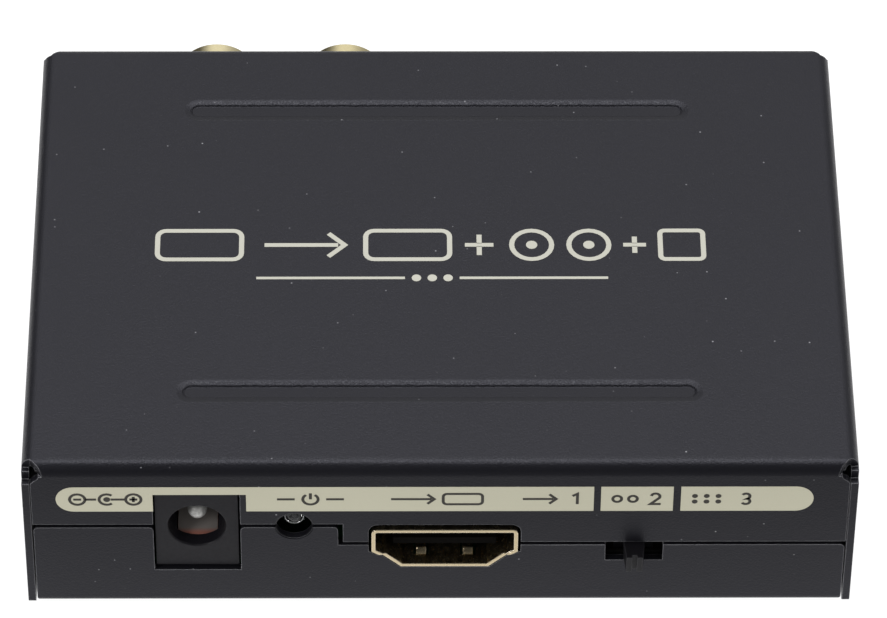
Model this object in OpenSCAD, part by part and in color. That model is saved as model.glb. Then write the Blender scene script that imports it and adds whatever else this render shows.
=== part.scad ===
// Small folded-steel box that takes the sound out of a video signal.
// A painted cover closes over a painted tray. The tray carries one circuit board, whose sockets,
// slide switch and lamp reach the outside through openings that cover and tray share.
// Sizes are millimetres: X to the right seen from the front, Y towards the rear, Z up.
// The origin is under the middle of the whole part, on the surface that the feet stand on.

/* [Case] */
// Outside width of the case
case_w = 85; // [82:0.5:110]
// Outside depth of the case, from front face to rear face
case_d = 62; // [58:0.5:90]
// Outside height of the case, without its feet
case_h = 20.5; // [19:0.5:30]
// Thickness of the sheet that cover and tray are folded from
sheet_t = 0.8; // [0.8:0.1:1.2]
// Outside radius of the folds
bend_r = 1.3; // [1.25:0.05:2]
// Width of the seam between the cover's flanges and the tray's flanges
seam_gap = 0.5; // [0.2:0.05:0.7]
// Gap between the ends of the tray and the sides of the cover
tray_gap = 0.15; // [0.1:0.05:0.5]
// Width of the relief where the cover's folds meet in a corner
relief_w = 1.75; // [1.5:0.05:2.2]
// Height of the rubber feet
foot_h = 1.5; // [1:0.1:4]
// Diameter of the rubber feet
foot_d = 8; // [5:0.5:12]
// Distance from the case's edges to the middle of a foot
foot_inset = 9; // [7:0.5:14]

/* [Cover beads] */
// Length of the pressed beads across the top
bead_l = 54; // [30:0.5:70]
// Width of a bead at the top surface
bead_w = 3.15; // [2.6:0.05:5]
// Depth that a bead is pressed in
bead_depth = 0.25; // [0.2:0.05:0.8]
// Width of a bead's sloping wall
bead_slope = 0.9; // [0.4:0.05:1.2]
// Distance from the front face to the middle of the front bead
bead_front = 10.75; // [6:0.25:20]
// Distance from the rear face to the middle of the rear bead
bead_rear = 9.95; // [6:0.25:20]

/* [Case screws] */
// Thread diameter of the countersunk screws in the sides
case_screw_d = 2.5; // [2:0.1:3]
// Head diameter of the countersunk screws
case_screw_head_d = 4.4; // [4.2:0.1:5.4]
// Length of the countersunk screws over the head
case_screw_l = 4; // [3.5:0.5:5]
// Distance from the front and rear faces to the side screws
case_screw_inset = 14; // [10:0.5:20]
// Height of the side screws above the underside of the tray
case_screw_h = 9.5; // [8:0.5:12]

/* [Circuit board] */
// Thickness of the circuit board
board_t = 1.6; // [1:0.2:2]
// Height of the standoffs under the board
standoff_h = 3.1; // [2:0.1:5]
// Diameter of the standoffs
standoff_d = 5; // [4.5:0.1:6]
// Gap between the board and the flanges in front of and behind it
board_gap = 0.7; // [0.3:0.1:1]
// Gap between the board and the screw tabs of the tray
board_side_gap = 1.25; // [0.4:0.05:2]
// Distance from the board's edges to its screw holes
board_hole_inset = 3.5; // [3:0.1:5]
// Thread diameter of the board screws
board_screw_d = 2.5; // [2:0.1:3]
// Head diameter of the board screws
board_screw_head_d = 4.8; // [4:0.1:5.2]
// Head height of the board screws
board_screw_head_h = 1.6; // [1:0.1:2.2]

/* [Video sockets] */
// Outside width of the metal shell
video_w = 15; // [14:0.1:16]
// Outside height of the metal shell
video_h = 5.54; // [5:0.02:6.2]
// Thickness of the shell
video_wall = 0.4; // [0.3:0.05:0.5]
// Width of the bevelled corners along the bottom
bevel_w = 3; // [2.6:0.1:3.4]
// Height of the bevelled corners
bevel_h = 2.24; // [1.9:0.02:2.6]
// Length of the shell from its mouth
video_d = 11.6; // [10:0.1:14]
// How far the mouth stands out of the panel
video_proud = 0.2; // [0:0.05:0.6]
// Height of the shell above the board
video_lift = 0.3; // [0.2:0.05:0.6]
// Gap around the shell in its panel opening
video_gap = 0.3; // [0.15:0.05:0.4]
// Gap over the shell in its panel opening
video_top_gap = 0.6; // [0.2:0.05:0.8]

/* [Power socket] */
// Width of the moulded body
jack_w = 8.5; // [8:0.1:9.5]
// Height of the moulded body
jack_h = 10.8; // [10.2:0.1:11.5]
// Length of the moulded body
jack_d = 14; // [12:0.5:16]
// How far its face lies behind the panel's outer surface
jack_recess = 0.4; // [0:0.05:0.9]
// Height of the socket's axis above the board
jack_axis_h = 5.9; // [5.4:0.1:6.2]
// Diameter of the plug bore
jack_bore_d = 5.9; // [5.6:0.1:6.3]
// Depth of the plug bore
jack_bore_depth = 9.5; // [8:0.5:10]
// Diameter of the centre pin
jack_pin_d = 2; // [1.6:0.1:2.5]
// Gap beside the body in its panel opening
jack_gap = 0.2; // [0.1:0.05:0.4]
// Gap above the body in its panel opening
jack_top_gap = 0.25; // [0.1:0.05:0.5]
// Gap below the body in its panel opening
jack_low_gap = 0.4; // [0.1:0.05:0.6]

/* [Slide switch] */
// Width of the switch knob
knob_w = 2.1; // [1.6:0.1:2.6]
// Height of the switch knob
knob_h = 2.1; // [1.6:0.1:2.4]
// How far the knob stands out of the panel
knob_reach = 1.8; // [0.5:0.1:3]
// Distance from one switch position to the next
switch_step = 1.5; // [1:0.1:2]
// Height of the knob's axis above the board
switch_axis_h = 2.3; // [2.2:0.05:2.8]
// Free play beside the knob at either end of its slot
slot_end_gap = 0.4; // [0.2:0.05:0.8]
// Gap over and under the knob in its slot
slot_gap = 0.24; // [0.15:0.01:0.4]

/* [Indicator lamp] */
// Diameter of the lamp's lens
led_d = 3; // [2:0.1:3.2]
// Diameter of the lamp's hole in the panel
led_hole_d = 3.7; // [3.4:0.1:4.2]
// How far the lens lies behind the panel's outer surface
led_recess = 0.8; // [0:0.1:1.5]
// Height of the lamp above the board
led_axis_h = 6.3; // [5.5:0.1:7]

/* [Phono sockets] */
// Outside diameter of a phono shell
phono_d = 8.3; // [7.6:0.1:9]
// Thickness of a phono shell
phono_wall = 0.6; // [0.4:0.05:0.8]
// How far the shells stand out behind the case
phono_reach = 7; // [5:0.1:10]
// Diameter of the hole for the plug's centre pin
phono_bore_d = 3.4; // [3.2:0.1:4]
// Distance between the two phono sockets
phono_pitch = 14.1; // [12:0.1:15]
// Height of the phono axes above the board
phono_axis_h = 4.9; // [4.7:0.1:6]
// Gap around a phono shell's collar in its panel hole
phono_gap = 0.15; // [0.05:0.05:0.3]

/* [Optical socket] */
// Width of the optical socket's body
optical_w = 9.7; // [9.4:0.1:10.4]
// Height of the optical socket's body
optical_h = 9.8; // [9.4:0.1:10.6]
// Length of the optical socket's body
optical_d = 13.5; // [13:0.5:16]
// Width and height of the optical socket's mouth
optical_mouth = 7.4; // [7:0.1:7.8]
// How far the body's face lies behind the panel's outer surface
optical_recess = 0.2; // [0:0.05:0.6]
// Height of the optical axis above the board
optical_axis_h = 4.95; // [4.8:0.05:5.2]
// Gap around the body in its panel opening
optical_gap = 0.2; // [0.1:0.05:0.4]
// Thickness of the shutter
shutter_t = 0.8; // [0.6:0.05:1]

/* [Hidden] */
$fn = 48;

// Overrun of cuts past the faces that they open
cut_over = 0.5;
// Clearance between fixed pieces that are pushed together
snug = 0.04;
// Clearance around legs and pins in the board
leg_gap = 0.12;
// How far legs and pins stand out under the board
leg_out = 0.9;

// Heights and depths that the pieces share
tray_z = foot_h;
floor_z = tray_z + sheet_t;
board_z = floor_z + standoff_h;
board_top = board_z + board_t;
top_z = tray_z + case_h;
front_y = (knob_reach - case_d - phono_reach) / 2;
rear_y = front_y + case_d;
mid_y = (front_y + rear_y) / 2;
tray_w = case_w - 2 * (sheet_t + tray_gap);
board_w = tray_w - 2 * (sheet_t + board_side_gap);
board_d = case_d - 2 * (sheet_t + board_gap);
leg_low = -board_t - leg_out;
board_hole_x = board_w / 2 - board_hole_inset;

// Width of the slide switch's frame
switch_w = 9.2;
// How far the lamp's collar stands out around its lens
led_collar = 0.4;
// Width of the phono housing past each socket's axis
phono_block_margin = 5.4;
phono_block_w = phono_pitch + 2 * phono_block_margin;

// The sockets stand in two rows between the board's corner screws. A share is the part of the row's
// free width that lies to the left of that socket.
row_l = 2 * board_hole_x - board_screw_head_d;
front_widths = [jack_w, led_d + 2 * led_collar, video_w, switch_w];
front_gap_shares = [0.1466, 0.1238, 0.1954, 0.2394];
rear_widths = [phono_block_w, optical_w, video_w];
rear_gap_shares = [0.2386, 0.3494, 0.2926];

function total(list, n) = n == 0 ? 0 : list[n - 1] + total(list, n - 1);

// The middle of the socket with number n in its row
function row_x(widths, gap_shares, n) =
    let (free = row_l - total(widths, len(widths)))
    total(widths, n) + total(gap_shares, n + 1) * free + (widths[n] - row_l) / 2;

jack_x = row_x(front_widths, front_gap_shares, 0);
led_x = row_x(front_widths, front_gap_shares, 1);
video_in_x = row_x(front_widths, front_gap_shares, 2);
switch_x = row_x(front_widths, front_gap_shares, 3);
phono_x = row_x(rear_widths, rear_gap_shares, 0);
optical_x = row_x(rear_widths, rear_gap_shares, 1);
video_out_x = row_x(rear_widths, rear_gap_shares, 2);

// The seams run through the middle of the lamp, along the top of the switch slot and
// through the middle of the phono sockets
led_seam_z = board_top + led_axis_h;
slot_seam_z = board_top + switch_axis_h + knob_h / 2 + slot_gap;
rear_seam_z = board_top + phono_axis_h;
seam_step_x = (led_x + led_hole_d / 2 + video_in_x - video_w / 2 - video_gap) / 2;

// Width of the slit between a cover flange and the side beside it
flange_slit = 0.08;
// A relief seen from above and from the front, from the case's upper corner inwards, as shares of its
// width: the cut across the top's corner, and the taper that runs into the slit under a round eye
relief_plan_shares = [[1.2, 0], [1, 0.26], [0.49, 0.77], [0, 0.83]];
relief_eye_r = 0.8;
relief_taper_shares = [[0, -0.4], [0.53, -0.2], [0.95, -0.8], [0.51, -1.36], [0, -1.36]];
// Outside radius of the tray's folds
tray_bend_r = 0.95;
// Corner radius at the foot of the cover's sides
side_corner_r = 0.5;
// Radius along the lower edges of the tray's ends
tray_edge_r = 0.9;
// Corner radius of the tray's flanges beside openings and the step in the seam
flange_corner_r = 0.5;
// Length, height and corner radius of the screw tabs
tab_l = 11;
tab_h = 12.5;
tab_r = 2;
// Depth and width of the cross recess in the screws, and its arm as a share of the head
recess_depth = 0.6;
recess_w = 0.5;
recess_arm_share = 0.55;
// Radius around the edge of a foot's sole
foot_edge_r = 0.4;

// Places of what stands in fours or pairs
case_screw_ys = [front_y + case_screw_inset, rear_y - case_screw_inset];
foot_ys = [front_y + foot_inset, rear_y - foot_inset];
board_hole_ys = [mid_y - board_d / 2 + board_hole_inset, mid_y + board_d / 2 - board_hole_inset];

module block(low, high) {
    translate(low) cube(high - low);
}

// A side view, drawn in Y and Z, made w wide about the middle
module along_x(w) {
    rotate([90, 0, 90]) translate([0, 0, -w / 2]) linear_extrude(w) children();
}

// A front view, drawn in X and Z, made d deep towards the rear
module along_y(d) {
    translate([0, d, 0]) rotate([90, 0, 0]) linear_extrude(d) children();
}

// A top view made h high from z
module along_z(z, h) {
    translate([0, 0, z]) linear_extrude(h) children();
}

// The origin of a socket at the front: on the panel's outer surface and the board's top
module front_place(x) {
    translate([x, front_y, board_top]) children();
}

// The same at the rear, where the socket looks the other way
module rear_place(x) {
    translate([x, rear_y, board_top]) rotate([0, 0, 180]) children();
}

// Rectangle that stands on the axis, with its two upper corners rounded
module arched(w, h, r) {
    translate([-w / 2, 0]) square([w, h - r]);
    translate([r - w / 2, 0]) square([w - 2 * r, h]);
    for (side = [-1, 1]) translate([side * (w / 2 - r), h - r]) circle(r);
}

// Rectangle about the middle with four rounded corners
module rounded(w, h, r) {
    square([w, h - 2 * r], center = true);
    square([w - 2 * r, h], center = true);
    for (x = [-1, 1], y = [-1, 1]) translate([x * (w / 2 - r), y * (h / 2 - r)]) circle(r);
}

// What is taken off an outer corner at the origin to round it, with the stock at +X and +Y
module corner_waste(r) {
    difference() {
        translate([-cut_over, -cut_over]) square(r + cut_over);
        translate([r, r]) circle(r);
    }
}

// Openings in the panels

module video_opening() {
    translate([0, -cut_over, 0]) along_y(sheet_t + 2 * cut_over)
        polygon(video_outline(-video_gap, -video_top_gap));
}

module jack_opening() {
    block([-jack_w / 2 - jack_gap, -cut_over, -jack_low_gap],
        [jack_w / 2 + jack_gap, sheet_t + cut_over, jack_h + jack_top_gap]);
}

slot_l = knob_w + 2 * switch_step + 2 * slot_end_gap;

module switch_opening() {
    block([-slot_l / 2, -cut_over, switch_axis_h - knob_h / 2 - slot_gap],
        [slot_l / 2, sheet_t + cut_over, slot_seam_z - board_top]);
}

module led_opening() {
    translate([0, sheet_t + cut_over, led_axis_h]) rotate([90, 0, 0])
        cylinder(h = sheet_t + 2 * cut_over, d = led_hole_d);
}

module phono_opening() {
    for (side = [-1, 1]) translate([side * phono_pitch / 2, sheet_t + cut_over, phono_axis_h])
        rotate([90, 0, 0])
            cylinder(h = sheet_t + 2 * cut_over, d = phono_d + 2 * (phono_collar + phono_gap));
}

module optical_opening() {
    block([-optical_w / 2 - optical_gap, -cut_over, -optical_gap],
        [optical_w / 2 + optical_gap, sheet_t + cut_over, optical_h + optical_gap]);
}

module panel_openings() {
    front_place(video_in_x) video_opening();
    front_place(jack_x) jack_opening();
    front_place(switch_x) switch_opening();
    front_place(led_x) led_opening();
    rear_place(video_out_x) video_opening();
    rear_place(phono_x) phono_opening();
    rear_place(optical_x) optical_opening();
}

// Cover and tray

// Everything under the front seam, drawn in X and Z and shifted off the seam's middle line
module under_front_seam(shift) {
    polygon([[-case_w, -case_h], [-case_w, led_seam_z + shift], [seam_step_x + shift, led_seam_z + shift],
        [seam_step_x + shift, slot_seam_z + shift], [case_w, slot_seam_z + shift], [case_w, -case_h]]);
}

// A bead's shape, flat side at the origin's height and continued upwards by rise
module bead(rise) {
    straight = bead_l - bead_w;
    flat = bead_w / 2 - bead_slope;
    half = [[0, rise], [bead_w / 2, rise], [bead_w / 2, 0], [flat, -bead_depth], [0, -bead_depth]];
    along_x(straight) polygon([[-bead_w / 2, rise], [-bead_w / 2, 0], [-flat, -bead_depth],
        [flat, -bead_depth], [bead_w / 2, 0], [bead_w / 2, rise]]);
    for (side = [-1, 1]) translate([side * straight / 2, 0, 0]) rotate([0, 0, -side * 90])
        rotate_extrude(angle = 180) polygon(half);
}

module at_beads(z) {
    for (y = [front_y + bead_front, rear_y - bead_rear]) translate([0, y, z]) children();
}

module cover_shell() {
    inner_r = bend_r - sheet_t;
    inner_w = case_w - 2 * sheet_t;
    inner_d = case_d - 2 * sheet_t;
    inner_h = case_h - sheet_t + cut_over;
    difference() {
        intersection() {
            translate([0, front_y, tray_z]) along_y(case_d) arched(case_w, case_h, bend_r);
            along_x(case_w) translate([mid_y, tray_z]) arched(case_d, case_h, bend_r);
        }
        intersection() {
            translate([0, front_y + sheet_t, tray_z - cut_over]) along_y(inner_d)
                arched(inner_w, inner_h, inner_r);
            along_x(inner_w) translate([mid_y, tray_z - cut_over]) arched(inner_d, inner_h, inner_r);
        }
    }
}

module at_case_screws() {
    for (side = [-1, 1], y = case_screw_ys)
        translate([side * case_w / 2, y, tray_z + case_screw_h]) rotate([0, side * 90, 0]) children();
}

case_screw_cone_h = (case_screw_head_d - case_screw_d) / 2;

// A countersunk screw's outline about its axis, with its head's face at the origin
module countersunk(grow, length) {
    translate([0, 0, -length]) cylinder(h = length, d = case_screw_d + 2 * grow);
    translate([0, 0, -case_screw_cone_h])
        cylinder(h = case_screw_cone_h, d1 = case_screw_d + 2 * grow, d2 = case_screw_head_d + 2 * grow);
    if (grow > 0) cylinder(h = cut_over, d = case_screw_head_d + 2 * grow);
}

// A relief at the case's upper corner, with the stock at +X, +Y and -Z: a diagonal cut across the
// top's corner, and a teardrop through the flange and the side
module relief() {
    plan = relief_w * relief_plan_shares;
    along_z(-bend_r, bend_r + cut_over) polygon(concat([[-cut_over, -cut_over], [plan[0][0], -cut_over]],
        plan, [[-cut_over, plan[3][1]]]));
    translate([0, -cut_over, 0]) along_y(sheet_t + cut_over) {
        translate([relief_w - relief_eye_r, -relief_eye_r - sheet_t / 2]) circle(relief_eye_r);
        polygon([for (share = relief_taper_shares) relief_w * share]);
    }
}

module top_cover() color("#3d3e43") {
    side_x = case_w / 2 - sheet_t;
    difference() {
        union() {
            cover_shell();
            at_beads(top_z - sheet_t) bead(sheet_t / 2);
        }
        at_beads(top_z) bead(cut_over);
        // below the front and rear flanges
        intersection() {
            translate([0, front_y - cut_over, 0]) along_y(sheet_t + 2 * cut_over)
                under_front_seam(seam_gap / 2);
            block([-side_x, front_y - cut_over, 0], [side_x, front_y + sheet_t + cut_over, top_z]);
        }
        block([-side_x, rear_y - sheet_t - cut_over, 0],
            [side_x, rear_y + cut_over, rear_seam_z + seam_gap / 2]);
        // slits beside the flanges, and the reliefs that they run into
        for (side = [-1, 1], y = [front_y, rear_y]) {
            translate([side * (side_x - flange_slit / 2), y, top_z / 2 - bend_r / 2])
                cube([flange_slit, 2 * sheet_t + cut_over, top_z - bend_r], center = true);
            translate([side * case_w / 2, y, top_z])
                mirror([side > 0 ? 1 : 0, 0, 0]) mirror([0, y == front_y ? 0 : 1, 0]) relief();
            // rounded corners at the foot of the sides
            translate([0, y, tray_z]) mirror([0, y == front_y ? 0 : 1, 0])
                along_x(case_w + 2 * cut_over) corner_waste(side_corner_r);
        }
        at_case_screws() countersunk(snug, case_screw_l);
        panel_openings();
    }
}

module base_tray() color("#36353a") {
    tray_top = max(led_seam_z, rear_seam_z);
    difference() {
        intersection() {
            union() {
                along_x(tray_w) difference() {
                    translate([mid_y, tray_top]) mirror([0, 1])
                        arched(case_d, tray_top - tray_z, tray_bend_r);
                    translate([mid_y, tray_top + cut_over]) mirror([0, 1])
                        arched(case_d - 2 * sheet_t, tray_top - floor_z + cut_over, tray_bend_r - sheet_t);
                }
                for (side = [-1, 1], y = case_screw_ys)
                    translate([side * (tray_w - sheet_t) / 2, y, tray_z])
                        along_x(sheet_t) arched(tab_l, tab_h, tab_r);
            }
            translate([0, front_y, top_z]) along_y(case_d)
                mirror([0, 1]) arched(tray_w, top_z - tray_z, tray_edge_r);
        }
        // above the front and rear flanges
        difference() {
            block([-case_w, front_y - cut_over, tray_z], [case_w, front_y + sheet_t + cut_over, top_z]);
            translate([0, front_y - 2 * cut_over, 0]) along_y(sheet_t + 4 * cut_over)
                under_front_seam(-seam_gap / 2);
        }
        block([-case_w, rear_y - sheet_t - cut_over, rear_seam_z - seam_gap / 2],
            [case_w, rear_y + cut_over, top_z]);
        // rounded corners of the front flange: at its ends, at the step and beside the power socket
        for (corner = [[-tray_w / 2, 1, led_seam_z], [seam_step_x - seam_gap / 2, -1, led_seam_z],
            [tray_w / 2, -1, slot_seam_z], [jack_x - jack_w / 2 - jack_gap, -1, led_seam_z],
            [jack_x + jack_w / 2 + jack_gap, 1, led_seam_z]])
            translate([corner[0], front_y - cut_over, corner[2] - seam_gap / 2])
                along_y(sheet_t + 2 * cut_over) scale([corner[1], -1]) corner_waste(flange_corner_r);
        for (side = [-1, 1], y = case_screw_ys)
            translate([side * tray_w / 2, y, tray_z + case_screw_h]) rotate([0, 90, 0])
                cylinder(h = 2 * sheet_t + cut_over, d = case_screw_d + 2 * snug, center = true);
        panel_openings();
    }
}

module cross_recess(head_d) {
    arm = head_d * recess_arm_share;
    for (turn = [0, 90]) rotate([0, 0, turn])
        block([-arm / 2, -recess_w / 2, -recess_depth], [arm / 2, recess_w / 2, cut_over]);
}

module case_screws() color("#2a2a2c") {
    at_case_screws() difference() {
        countersunk(0, case_screw_l);
        cross_recess(case_screw_head_d);
    }
}

module rubber_feet() color("#1d1d1f") {
    for (side = [-1, 1], y = foot_ys) translate([side * (case_w / 2 - foot_inset), y, 0]) {
        cylinder(h = foot_edge_r, d1 = foot_d - 2 * foot_edge_r, d2 = foot_d);
        translate([0, 0, foot_edge_r]) cylinder(h = foot_h - foot_edge_r, d = foot_d);
    }
}

// Circuit board and what holds it

module at_board_holes(z) {
    for (side = [-1, 1], y = board_hole_ys) translate([side * board_hole_x, y, z]) children();
}

module board_standoffs() color("#b9b6ad") {
    at_board_holes(floor_z) difference() {
        cylinder(h = standoff_h, d = standoff_d);
        translate([0, 0, -cut_over])
            cylinder(h = standoff_h + 2 * cut_over, d = board_screw_d + 2 * snug);
    }
}

module board_screws() color("#c9c8c4") {
    shank = board_t + standoff_h / 2;
    at_board_holes(board_top) difference() {
        union() {
            cylinder(h = board_screw_head_h, d = board_screw_head_d);
            translate([0, 0, -shank]) cylinder(h = shank, d = board_screw_d);
        }
        translate([0, 0, board_screw_head_h]) cross_recess(board_screw_head_d);
    }
}

board_corner_r = 1.5;
board_hole_gap = 0.3;

module circuit_board() color("#1d5a3a") {
    difference() {
        translate([0, mid_y, board_z]) linear_extrude(board_t) rounded(board_w, board_d, board_corner_r);
        at_board_holes(board_z - cut_over)
            cylinder(h = board_t + 2 * cut_over, d = board_screw_d + 2 * board_hole_gap);
        front_place(video_in_x) video_legs(leg_gap);
        rear_place(video_out_x) video_legs(leg_gap);
        front_place(jack_x) {
            jack_rear_tag(leg_gap);
            jack_spring_tag(leg_gap);
            jack_side_tag(leg_gap);
        }
        front_place(switch_x) {
            switch_legs(leg_gap);
            switch_pins(leg_gap);
        }
        front_place(led_x) led_pins(leg_gap);
        rear_place(phono_x) {
            phono_centre_tags(leg_gap);
            phono_side_legs(leg_gap);
        }
        rear_place(optical_x) optical_pins(leg_gap);
        at_header() header_pins(leg_gap);
        at_crystal() crystal_pins(leg_gap);
        at_filter_capacitors() capacitor_pins(leg_gap);
    }
}

// Video sockets: a folded shell, a moulded insulator with a tongue, and nineteen contacts

// Places along a bevel, as shares of its width and height
bevel_shares = [[0, 1], [0.26, 0.77], [0.38, 0.8], [0.85, 0.2], [1, 0]];
video_corner_r = 0.6;
corner_steps = 5;
tongue_w = 10.6;
tongue_t = 0.9;
tongue_recess = 1.1;
tongue_l = 5.2;
upper_contacts = 10;
lower_contacts = 9;
contact_w = 0.3;
contact_t = 0.15;
contact_pitch = 1;
contact_set_back = 0.5;
contact_foot = 0.9;
contact_leg_gap = 0.2;
finger_x = 2.4;
finger_w = 1.1;
finger_slot = 0.25;
finger_recess = 1.6;
finger_l = 4.6;
finger_rise = 0.35;
video_leg_w = 1.3;
// Places of the legs along the shell, as shares of its length
video_leg_shares = [0.28, 0.76];

function arc(centre, r, from) =
    [for (i = [0:corner_steps]) let (a = from + 90 * i / corner_steps) centre + r * [cos(a), sin(a)]];

// The shell's outline drawn in by inset, and by top_inset along its top, with true parallel bevels
function video_outline(inset, top_inset) =
    let (slant = sqrt(1 / pow(bevel_w, 2) + 1 / pow(bevel_h, 2)),
        bw = bevel_w * (1 + inset * slant - inset / bevel_h) - inset,
        bh = bevel_h * (1 + inset * slant - inset / bevel_w) - inset,
        half = video_w / 2 - inset,
        low = video_lift + inset,
        high = video_lift + video_h - top_inset,
        r = video_corner_r - min(inset, top_inset) / 2 - max(inset, top_inset) / 2,
        bevel = [for (share = bevel_shares) [half - share[0] * bw, low + share[1] * bh]],
        last = len(bevel) - 1)
    concat([for (i = [0:last]) bevel[last - i]],
        arc([half - r, high - r], r, 0), arc([r - half, high - r], r, 90),
        [for (p = bevel) [-p[0], p[1]]]);

video_back = video_d - video_proud;
tongue_z = video_lift + video_h / 2;
tongue_front = tongue_recess - video_proud;
tongue_root = tongue_front + tongue_l;

module video_legs(grow) {
    wall_x = (video_w - video_wall) / 2;
    for (side = [-1, 1], share = video_leg_shares) translate([side * wall_x, share * video_d, 0])
        block([-video_wall / 2 - grow, -video_leg_w / 2 - grow, leg_low - grow],
            [video_wall / 2 + grow, video_leg_w / 2 + grow, video_lift + bevel_h + video_wall]);
}

module video_shell() {
    front = finger_recess - video_proud;
    difference() {
        union() {
            translate([0, -video_proud, 0]) along_y(video_d) polygon(video_outline(0, 0));
            video_legs(0);
        }
        translate([0, -video_proud - cut_over, 0]) along_y(video_d + 2 * cut_over)
            polygon(video_outline(video_wall, video_wall));
        for (side = [-1, 1]) translate([side * finger_x, 0, 0])
            block([-finger_w / 2 - finger_slot, front - finger_slot, video_lift - cut_over],
                [finger_w / 2 + finger_slot, front + finger_l, video_lift + video_wall + cut_over]);
    }
    for (side = [-1, 1]) translate([side * finger_x, 0, video_lift]) along_x(finger_w)
        polygon([[front, finger_rise], [front + finger_l, 0], [front + finger_l, video_wall],
            [front, finger_rise + video_wall]]);
}

// The first child at each contact on top of the tongue, the second at each one under it
module at_contacts() {
    for (i = [0:upper_contacts - 1])
        translate([(i - (upper_contacts - 1) / 2) * contact_pitch, 0, 0]) children(0);
    for (i = [0:lower_contacts - 1])
        translate([(i - (lower_contacts - 1) / 2) * contact_pitch, 0, 0]) children(1);
}

module contact_channel(low) {
    block([-contact_w / 2 - snug, tongue_root - contact_t, low - snug],
        [contact_w / 2 + snug, video_back + cut_over, low + contact_t + snug]);
}

module video_insulator() {
    inset = video_wall + snug;
    difference() {
        union() {
            translate([0, tongue_root, 0]) along_y(video_back - tongue_root)
                polygon(video_outline(inset, inset));
            block([-tongue_w / 2, tongue_front, tongue_z - tongue_t / 2],
                [tongue_w / 2, tongue_root, tongue_z + tongue_t / 2]);
        }
        at_contacts() {
            contact_channel(tongue_z + tongue_t / 2 + snug);
            contact_channel(tongue_z - tongue_t / 2 - contact_t - snug);
        }
        // room for the root of the spring fingers
        for (side = [-1, 1]) translate([side * finger_x, 0, 0])
            block([-finger_w / 2 - finger_slot, tongue_root - cut_over, video_lift],
                [finger_w / 2 + finger_slot, finger_recess - video_proud + finger_l + finger_slot,
                    video_lift + video_wall + finger_rise]);
    }
}

// A contact's side view: along the tongue, down behind the insulator, and a foot on the board
module contact(low) {
    front = tongue_front + contact_set_back;
    leg = video_back + contact_leg_gap;
    foot = leg + contact_t + contact_foot;
    along_x(contact_w) polygon([[front, low], [leg, low], [leg, 0], [foot, 0], [foot, contact_t],
        [leg + contact_t, contact_t], [leg + contact_t, low + contact_t], [front, low + contact_t]]);
}

module video_contacts() {
    at_contacts() {
        contact(tongue_z + tongue_t / 2 + snug);
        contact(tongue_z - tongue_t / 2 - contact_t - snug);
    }
}

module video_in_shell() color("#d8c39a") front_place(video_in_x) video_shell();
module video_in_insulator() color("#191716") front_place(video_in_x) video_insulator();
module video_in_contacts() color("#c9a24a") front_place(video_in_x) video_contacts();
module video_out_shell() color("#d8c39a") rear_place(video_out_x) video_shell();
module video_out_insulator() color("#191716") rear_place(video_out_x) video_insulator();
module video_out_contacts() color("#c9a24a") rear_place(video_out_x) video_contacts();

// Power socket: a moulded body, a riveted centre pin, a leaf spring and a side tag

jack_face_d = 3.5;
jack_bore_chamfer = 0.12;
jack_pin_recess = 1.4;
jack_rivet_d = 1.4;
jack_tag_t = 0.4;
jack_tag_w = 2.4;
jack_spring_w = 4.1;
jack_spring_t = 0.3;
jack_spring_recess = 1.6;
jack_spring_crest = 3;
jack_spring_rise = 0.9;
jack_spring_drop = 0.35;
jack_side_tag_y = 8.6;
jack_back = jack_recess + jack_d;
jack_bore_back = jack_recess + jack_bore_depth;
jack_spring_low = jack_axis_h - jack_bore_d / 2 - jack_spring_drop;
jack_spring_front = jack_recess + jack_spring_recess;
jack_spring_back = jack_bore_back + jack_tag_t;

module jack_rear_tag(grow) {
    block([-jack_tag_w / 2 - grow, jack_back - grow, leg_low - grow],
        [jack_tag_w / 2 + grow, jack_back + jack_tag_t + grow, jack_axis_h + jack_pin_d / 2]);
}

module jack_spring_tag(grow) {
    block([-jack_tag_w / 2 - grow, jack_spring_back - jack_tag_t - grow, leg_low - grow],
        [jack_tag_w / 2 + grow, jack_spring_back + grow, jack_spring_low + jack_spring_t]);
}

module jack_side_tag(grow) {
    block([jack_w / 2 + snug - grow, jack_side_tag_y - jack_tag_w / 2 - grow, leg_low - grow],
        [jack_w / 2 + snug + jack_tag_t + grow, jack_side_tag_y + jack_tag_w / 2 + grow, jack_axis_h]);
}

module power_jack_body() color("#161617") front_place(jack_x) {
    channel = jack_spring_w / 2 + leg_gap;
    difference() {
        union() {
            translate([0, jack_recess, 0]) along_y(jack_face_d)
                translate([-jack_w / 2, 0]) square([jack_w, jack_h]);
            translate([0, jack_recess, 0]) along_y(jack_d) {
                translate([-jack_w / 2, 0]) square([jack_w, jack_axis_h]);
                translate([0, jack_axis_h]) circle(d = jack_w);
            }
        }
        translate([0, jack_bore_back, jack_axis_h]) rotate([90, 0, 0]) {
            cylinder(h = jack_bore_depth + cut_over, d = jack_bore_d);
            translate([0, 0, jack_bore_depth - jack_bore_chamfer])
                cylinder(h = jack_bore_chamfer, d1 = jack_bore_d, d2 = jack_bore_d + 2 * jack_bore_chamfer);
        }
        translate([0, jack_back + cut_over, jack_axis_h]) rotate([90, 0, 0])
            cylinder(h = jack_d - jack_bore_depth + 2 * cut_over, d = jack_rivet_d + 2 * snug);
        block([-channel, jack_spring_front - leg_gap, jack_spring_low - leg_gap],
            [channel, jack_bore_back, jack_axis_h]);
        jack_spring_tag(leg_gap);
        block([-channel, jack_bore_back - cut_over, jack_spring_low - leg_gap],
            [channel, jack_spring_back + leg_gap, jack_spring_low + jack_spring_t + leg_gap]);
    }
}

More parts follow.
